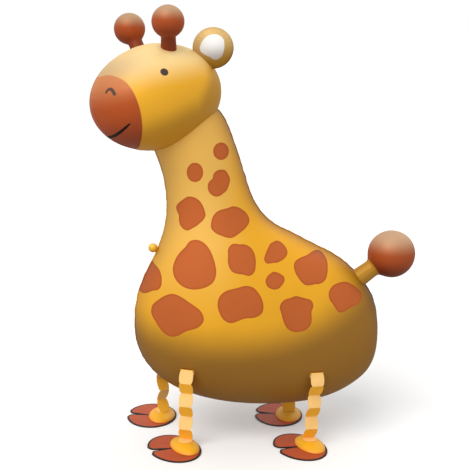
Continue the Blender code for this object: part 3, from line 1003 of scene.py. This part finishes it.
ear_foil = ear_material()
ear_shape = grow_ear()
for ear_name, centre, facing in EARS:
    ear = copy_of(ear_shape, ear_name + "_foil")
    print_ear(ear, mirrored=centre[1] < 0)
    turn = Vector(facing).to_track_quat("X", "Z").to_matrix().to_4x4()
    settle(ear, HEAD_PLACE @ Matrix.Translation(centre) @ turn)
    hand_over(ear, ear_name, ear_foil)
bpy.data.objects.remove(ear_shape)

# %% [markdown]
# Each leg is one strip of paper, pleated like a fan so that it can give, with sides that are scalloped
# between the folds. It starts with a tab glued to the flank and ends with a round one on the heel. It is
# modelled as an edge that is extruded from fold to fold, and Solidify gives it the thickness of paper.
# The folds are found on the body itself, so that the strip clears it.

# %% Path of a leg
LEG_WIDTH = 0.0206
LEG_NECK_SHARE = 0.78
LEG_PAPER = 0.0008
LEG_PANELS = 6
LEG_FOLD_DEPTH = 0.0085
LEG_GLUE_TAB = 0.009
LEG_TOP_CREASE = 0.002
LEG_TAB_OFF_BODY = 0.0014
LEG_OFF_BODY = 0.0012
LEG_TOP_ABOVE_BELLY = 0.072
FRONT_LEG_X = -0.1055
HIND_LEG_X = 0.090
LEG_INSET = 0.026
LEG_TRACK = BODY_WIDTH - 2 * LEG_INSET
FRONT_STRIDE = 0.013
HIND_STRIDE = 0.005
FOOT_CARD = 0.0016
HEEL_HEIGHT = 0.0085
GAP = 0.0003
UP = Vector((0, 0, 1))
HEEL_TOP = FOOT_CARD + GAP + HEEL_HEIGHT

solid = nodes["body"].data
points = [vertex.co for vertex in solid.vertices]
flank = BVHTree.FromPolygons(points, [tuple(face.vertices) for face in solid.polygons])


def clear_of_body(fold, outward):
    """Move a fold outwards until the strip stands clear of the flank."""
    across = UP.cross(outward) * LEG_WIDTH / 2
    step_out = 0.0
    for edge in (-across, Vector((0, 0, 0)), across):
        found = flank.ray_cast(fold + edge + outward * BODY_WIDTH, -outward)[0]
        if found is not None:
            step_out = max(step_out, (found - fold - edge).dot(outward) + LEG_OFF_BODY)
    return fold + outward * step_out


def leg_folds(x, side):
    """The folds of one leg, from the tab on the flank down to the tab on the heel."""
    standing = GAP + LEG_PAPER / 2
    beside = Vector((x, side * BODY_WIDTH, BELLY_HEIGHT + LEG_TOP_ABOVE_BELLY))
    place, normal, _, _ = flank.ray_cast(beside, Vector((0, -side, 0)))
    outward = Vector((normal.x, normal.y, 0.0)).normalized()
    down = (outward * normal.z - UP * normal.dot(outward)).normalized()
    top = place + normal * LEG_TAB_OFF_BODY
    tab = LEG_WIDTH * LEG_NECK_SHARE
    foot = Vector((x, side * LEG_TRACK / 2, HEEL_TOP + standing)) - outward * tab / 2
    crease = top + outward * LEG_TOP_CREASE
    folds = [top + down * LEG_GLUE_TAB, top, crease]
    for fold in range(1, LEG_PANELS + 1):
        place = clear_of_body(crease.lerp(foot, fold / LEG_PANELS), outward)
        if fold % 2:
            place = place + outward * LEG_FOLD_DEPTH
        folds.append(place)
    folds.append(foot + outward * tab)
    return folds, outward


# %% A pleated strip
PANEL_STEPS = 8
TAB_END_SHARE = 0.25


def half_width(share, last):
    """Half the strip's width along a panel: narrow at the folds, round between them."""
    bulge = sin(pi * share) ** 0.4
    if last and share > 0.5:
        return LEG_WIDTH / 2 * max(bulge, TAB_END_SHARE)
    return LEG_WIDTH / 2 * (LEG_NECK_SHARE + (1.0 - LEG_NECK_SHARE) * bulge)


def grow_leg(name, folds, outward):
    """Extrude an edge from fold to fold, then give the strip its thickness."""
    flat = sum((second - first).length for first, second in zip(folds, folds[1:]))
    print(name, "flat length", round(flat * 1000, 1), "mm")
    across = UP.cross(outward)
    turned = Matrix((across, outward, UP)).transposed().to_4x4()
    local = [turned.inverted() @ fold for fold in folds]
    bpy.ops.mesh.primitive_plane_add(size=1.0)
    piece = start_piece(name)
    pick(piece, lambda co: co.y > 0)
    bpy.ops.mesh.delete(type="VERT")
    pick_all()
    width = 2 * half_width(0.0, False)
    stretch((width, 1.0, 1.0))
    place = local[0]
    bpy.ops.transform.translate(value=place - Vector((0, -0.5, 0)))
    panels = len(local) - 1
    for panel in range(panels):
        for step in range(1, PANEL_STEPS + 1):
            share = step / PANEL_STEPS
            following = local[panel].lerp(local[panel + 1], share)
            extrude(following - place)
            wider = 2 * half_width(share, panel == panels - 1)
            stretch((wider / width, 1.0, 1.0), following)
            place, width = following, wider
    end_edit()
    # Every other panel is marked, for the painted light and shade of the pleats.
    tones = np.repeat([panel % 2 for panel in range(panels)], PANEL_STEPS)
    store(piece, "FACE", panel=tones.astype(float))
    paper = piece.modifiers.new("paper", "SOLIDIFY")
    paper.thickness = LEG_PAPER
    paper.offset = 0.0
    paper.use_even_offset = True
    apply(piece, paper)
    settle(piece, turned)
    return piece


# %% [markdown]
# Paper and card need fibres rather than crinkles. One group makes them: a fine cloud of short fibres
# lifts the surface and speckles the colour, and wear lightens the print a little here and there.

# %% Paper group
FIBRE_WAVES = 900.0
WEAR_WAVES = 60.0
FIBRE_HEIGHT = 0.0004


def make_paper_group():
    """Fibres, speckle and a little wear for paper and card."""
    numbers = {"Speckle": 0.08, "Fibre": 0.3}
    group, given, result = new_group("paper fibre", numbers, {"Color": "Color", "Normal": "Vector"})
    place = own_place(group)
    stretched = add_node(group, "Mapping", {"Vector": place, "Scale": (1.0, 0.35, 0.6)}).outputs[0]
    fibres = noise(group, stretched, FIBRE_WAVES, 4.0, 0.7)
    wear = ramp(group, noise(group, place, WEAR_WAVES), 0.3, 0.7, -1.0, 1.0)
    both = calculate(group, "MULTIPLY", fibres, wear)
    value = calculate(group, "MULTIPLY_ADD", both, given["Speckle"], 1.0)
    toned = add_node(group, "HueSaturation", {"Value": value, "Color": given["Print"]}).outputs[0]
    sockets = {"Strength": given["Fibre"], "Distance": FIBRE_HEIGHT, "Height": fibres}
    fill(group, result, {"Color": toned, "Normal": add_node(group, "Bump", sockets).outputs[0]})
    return group


paper_group = make_paper_group()


def paper_material(name, print_colour, roughness, speckle=0.08, fibre=0.3):
    """A material of paper with a print that a function makes."""
    material, tree, shader = new_material(name)
    sockets = {"Print": print_colour(tree), "Speckle": speckle, "Fibre": fibre}
    paper = add_node(tree, "Group", sockets, node_tree=paper_group).outputs
    fill(tree, shader, {"Base Color": paper["Color"], "Normal": paper["Normal"], "Roughness": roughness})
    return material


# %% [markdown]
# A hoof is cut from card: an oval with a cleft between two rounded toes. A circle is opened at the
# front, its two ends are extruded inwards to the root of the cleft, and the toes' corners are rounded
# with a vertex bevel. An inset leaves a narrow band along the edge, which is printed dark. The heel is a
# low dome that is cut flat below and on top.

# %% Hoof
FOOT_LENGTH = 0.077
FOOT_WIDTH = 0.100
FOOT_SPLAY = radians(12.0)
CLEFT_LENGTH = 0.030
CLEFT_WIDTH = 0.006
FOOT_SIDES = 90
CLEFT_SIDES = 6
OUTLINE_WIDTH = 0.0026
TOE_ROUNDING = 0.0045
TOE_BEVEL = 0.0030
TOE_REACH = 0.0052


def grow_hoof():
    """The cloven card, with its toes along -X and its underside at z = 0."""
    bpy.ops.mesh.primitive_circle_add(vertices=FOOT_SIDES, radius=1.0, fill_type="NOTHING")
    piece = start_piece("hoof_shape")
    stretch((FOOT_LENGTH / 2, FOOT_WIDTH / 2, 1.0))
    opening = FOOT_WIDTH / 2 * sin(tau * (CLEFT_SIDES / 2) / FOOT_SIDES)
    pick(piece, lambda co: co.x < 0 and abs(co.y) < opening)
    bpy.ops.mesh.delete(type="VERT")
    mesh = bmesh.from_edit_mesh(piece.data)
    ends = [vert.co.copy() for vert in mesh.verts if len(vert.link_edges) == 1]
    ends.sort(key=lambda co: co.y)
    root = Vector((-FOOT_LENGTH / 2 + CLEFT_LENGTH, 0.0, 0.0))
    for end in ends:
        pick(piece, lambda co: (co - end).length < 1e-6)
        inner = Vector((end.x + TOE_ROUNDING, copysign(CLEFT_WIDTH / 2, end.y), 0.0))
        extrude(inner - end)
        extrude(root - inner)
    pick_all()
    bpy.ops.mesh.remove_doubles(threshold=0.00001)
    inner_x = ends[0].x + TOE_ROUNDING
    pick(piece, lambda co: abs(co.x - inner_x) < TOE_REACH and abs(co.y) < abs(ends[0].y) + 1e-5)
    bpy.ops.mesh.bevel(offset=TOE_BEVEL, segments=5, affect="VERTICES")
    pick_all()
    bpy.ops.mesh.edge_face_add()
    face_outwards()
    bpy.ops.mesh.inset(thickness=OUTLINE_WIDTH, use_even_offset=True)
    pick_all()
    extrude((0, 0, FOOT_CARD))
    face_outwards()
    end_edit()
    inked = [0.0 if len(face.vertices) > 8 else 1.0 for face in piece.data.polygons]
    store(piece, "FACE", inked=np.array(inked))
    return piece


# %% Heel
HEEL_LENGTH = 0.041
HEEL_WIDTH = 0.066
HEEL_DOME_SHARE = 0.93
HEEL_MARGIN = 0.002
HEEL_EDGE = 0.0006


def grow_heel():
    """A low dome, flat below and with a small flat on top for the leg's tab."""
    bpy.ops.mesh.primitive_uv_sphere_add(segments=64, ring_count=40, radius=1.0)
    piece = start_piece("heel_shape")
    stretch((HEEL_LENGTH / 2, HEEL_WIDTH / 2, HEEL_HEIGHT / HEEL_DOME_SHARE))
    for level, facing in ((0.0, -1), (HEEL_HEIGHT, 1)):
        pick_all()
        cut = {"plane_co": (0, 0, level), "plane_no": (0, 0, facing)}
        bpy.ops.mesh.bisect(**cut, use_fill=True, clear_outer=True)
    face_outwards()
    end_edit()
    edge = piece.modifiers.new("soft edge", "BEVEL")
    edge.width = HEEL_EDGE
    edge.segments = 3
    edge.limit_method = "ANGLE"
    apply(piece, edge)
    return piece


# %% Prints of legs, hooves and heels
def leg_print(tree):
    """Painted light and shade: panels that face up are pale as if lit, panels that face down are amber as if
    shaded.
    """
    return mix(tree, read(tree, "panel"), "F2C274", "FFBA2E")


def hoof_print(tree):
    """Orange-brown card with a dark printed edge."""
    return mix(tree, read(tree, "inked"), "B84E24", "1E0A06")


def heel_print(tree):
    """Warm yellow that deepens towards the edge."""
    up = add_node(tree, "SeparateXYZ", {0: own_place(tree)}).outputs["Z"]
    return mix(tree, ramp(tree, up, 0.0025, 0.008), "EE9A1C", "F2B01C")


leg_paper = paper_material("leg_paper_print_with_painted_light", leg_print, 0.75)
foot_card = paper_material("foot_card_print", hoof_print, 0.6, 0.12)
heel_card = paper_material("heel_card_print", heel_print, 0.5, 0.06, 0.2)

# %% Legs, hooves and heels in place
HEEL_REACH = FOOT_LENGTH / 2 - HEEL_MARGIN - HEEL_LENGTH / 2
SHARP_FOLD = radians(35)
PAIRS = (("front", FRONT_LEG_X, FRONT_STRIDE), ("hind", HIND_LEG_X, HIND_STRIDE))

hoof_shape = grow_hoof()
heel_shape = grow_heel()
for end_name, end_x, stride in PAIRS:
    for side_name, side in (("left", -1), ("right", 1)):
        corner = end_name + "_" + side_name
        leg_x = end_x - side * stride + PLAN_SHIFT
        folds, outward = leg_folds(leg_x, side)
        leg = grow_leg("leg_" + corner + "_paper", folds, outward)
        hand_over(leg, "leg_" + corner, leg_paper)
        splay = Matrix.Rotation(-side * FOOT_SPLAY, 4, "Z")
        landing = Vector((leg_x, side * LEG_TRACK / 2, 0.0))
        hoof = copy_of(hoof_shape, "foot_" + corner + "_card")
        settle(hoof, Matrix.Translation(landing - splay @ Vector((HEEL_REACH, 0, 0))) @ splay)
        hand_over(hoof, "foot_" + corner, foot_card)
        heel = copy_of(heel_shape, "heel_" + corner + "_card")
        settle(heel, Matrix.Translation(landing + Vector((0, 0, FOOT_CARD + GAP))) @ splay)
        hand_over(heel, "heel_" + corner, heel_card)
        for flat in (leg, hoof, heel):
            only(flat)
            bpy.ops.object.shade_smooth_by_angle(angle=SHARP_FOLD)
for shape in (hoof_shape, heel_shape):
    bpy.data.objects.remove(shape)

# %% [markdown]
# The giraffe stands on a plain pale floor that runs out into a white surround. The main light is large
# and soft and comes from the upper left, where the photograph has its satin highlights. A white floor
# would light the belly almost as strongly from below, so for all but the camera's own rays it is grey.

# %% Floor
FLOOR_SIZE = 60.0
FLOOR_BOUNCE = 0.50


def make_floor():
    """A large pale floor with a trace of unevenness."""
    bpy.ops.mesh.primitive_plane_add(size=FLOOR_SIZE, location=(0, 0, 0))
    floor = bpy.context.object
    floor.name = "floor"
    material, tree, shader = new_material("pale_floor")
    tone = mix(tree, noise(tree, own_place(tree), 1.5), "FBFBFB", "FFFFFF")
    bounce = (FLOOR_BOUNCE, FLOOR_BOUNCE, FLOOR_BOUNCE, 1.0)
    seen = add_node(tree, "LightPath").outputs["Is Camera Ray"]
    colour = mix(tree, seen, bounce, tone)
    fill(tree, shader, {"Base Color": colour, "Roughness": 0.9, "Specular IOR Level": 0.1})
    floor.data.materials.append(material)


make_floor()


# %% Lights
SURROUND_SEEN = 1.0
SURROUND_LIGHT = 0.70


def add_soft_sun(name, direction, strength, degrees, colour=(1.0, 1.0, 1.0)):
    """A distant light as wide as a studio softbox, shining from a direction."""
    light = bpy.data.lights.new(name, "SUN")
    light.energy = strength
    light.angle = radians(degrees)
    light.color = colour
    lamp = bpy.data.objects.new(name, light)
    scene.collection.objects.link(lamp)
    lamp.rotation_euler = (-Vector(direction)).to_track_quat("-Z", "Y").to_euler()


def make_surround():
    """White for the camera and weaker as a light."""
    world = bpy.data.worlds.new("surround")
    world.use_nodes = True
    tree = world.node_tree
    seen = add_node(tree, "LightPath").outputs["Is Camera Ray"]
    strength = ramp(tree, seen, 0.0, 1.0, SURROUND_LIGHT, SURROUND_SEEN)
    fill(tree, tree.nodes["Background"], {"Strength": strength, "Color": (1.0, 1.0, 1.0, 1.0)})
    scene.world = world


add_soft_sun("key_light", (-0.42, -0.57, 0.71), strength=1.85, degrees=44.0, colour=(1.0, 0.99, 0.97))
add_soft_sun("back_light", (0.50, 0.60, 0.60), strength=0.35, degrees=60.0)
make_surround()
scene.view_settings.view_transform = "Standard"
